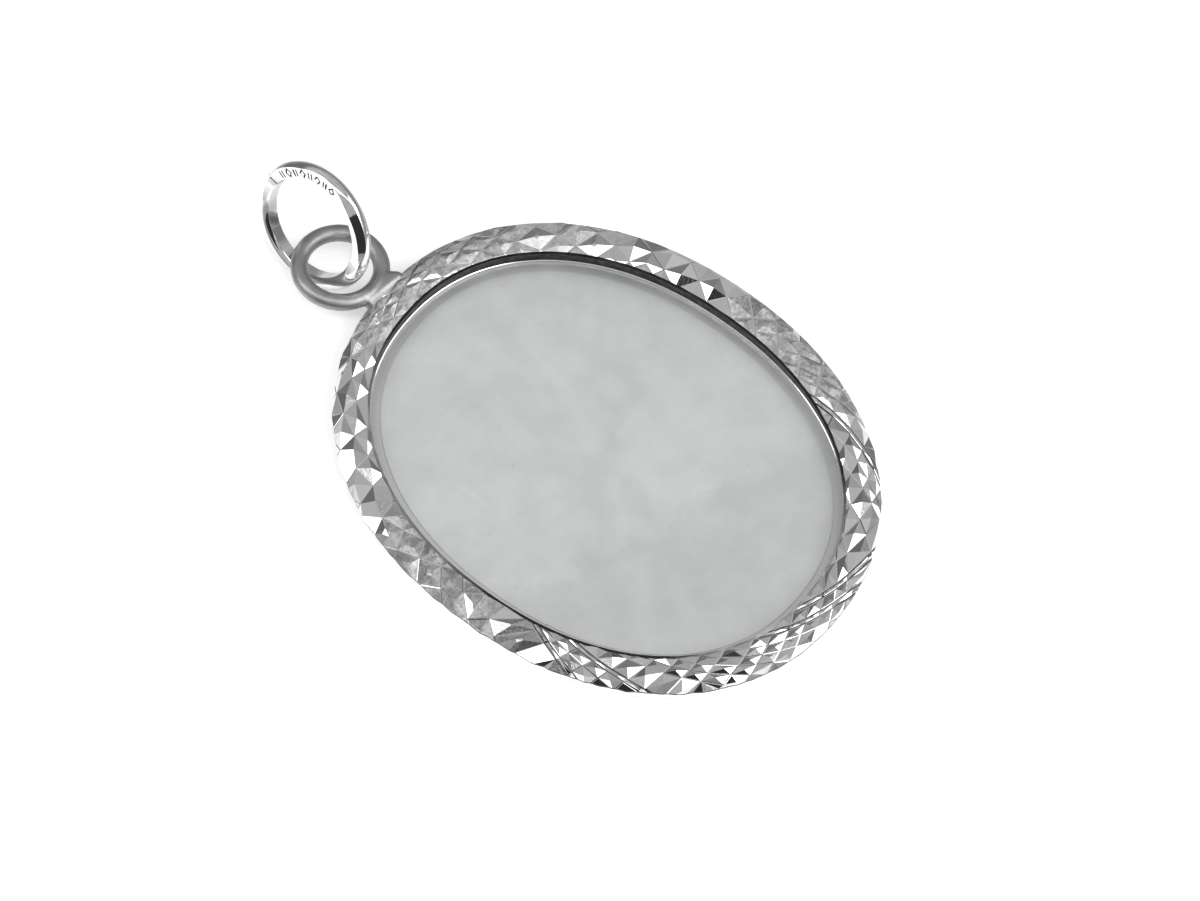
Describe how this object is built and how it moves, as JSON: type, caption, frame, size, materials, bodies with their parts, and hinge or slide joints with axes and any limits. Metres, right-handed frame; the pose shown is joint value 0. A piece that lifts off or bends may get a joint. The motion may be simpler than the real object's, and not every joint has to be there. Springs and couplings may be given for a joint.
{
  "type": "oval engravable pendant with bail ring",
  "caption": "Oval pendant with a plain engraving plate in a border of cut points, a soldered loop at its end and a loose bail ring linked through it, lying flat.",
  "frame": {"origin": "middle of the oval on the plate's flat back, the surface that the pendant lies on", "axes": "+Y along the oval's length towards the soldered loop, +X across its width, +Z out of the engraving face"},
  "size_m": [0.0198, 0.0318, 0.0057],
  "materials": {
    "frame_metal": "bright cut facets on the border, satin on the soldered loop",
    "plate_metal": "polished, with a faint cloudy haze and small specks",
    "ring_metal": "mirror polished"
  },
  "bodies": {
    "root": {"frame_with_loop": "frame_metal", "engraving_plate": "plate_metal", "bail_ring": "ring_metal"}
  },
  "joints": []
}
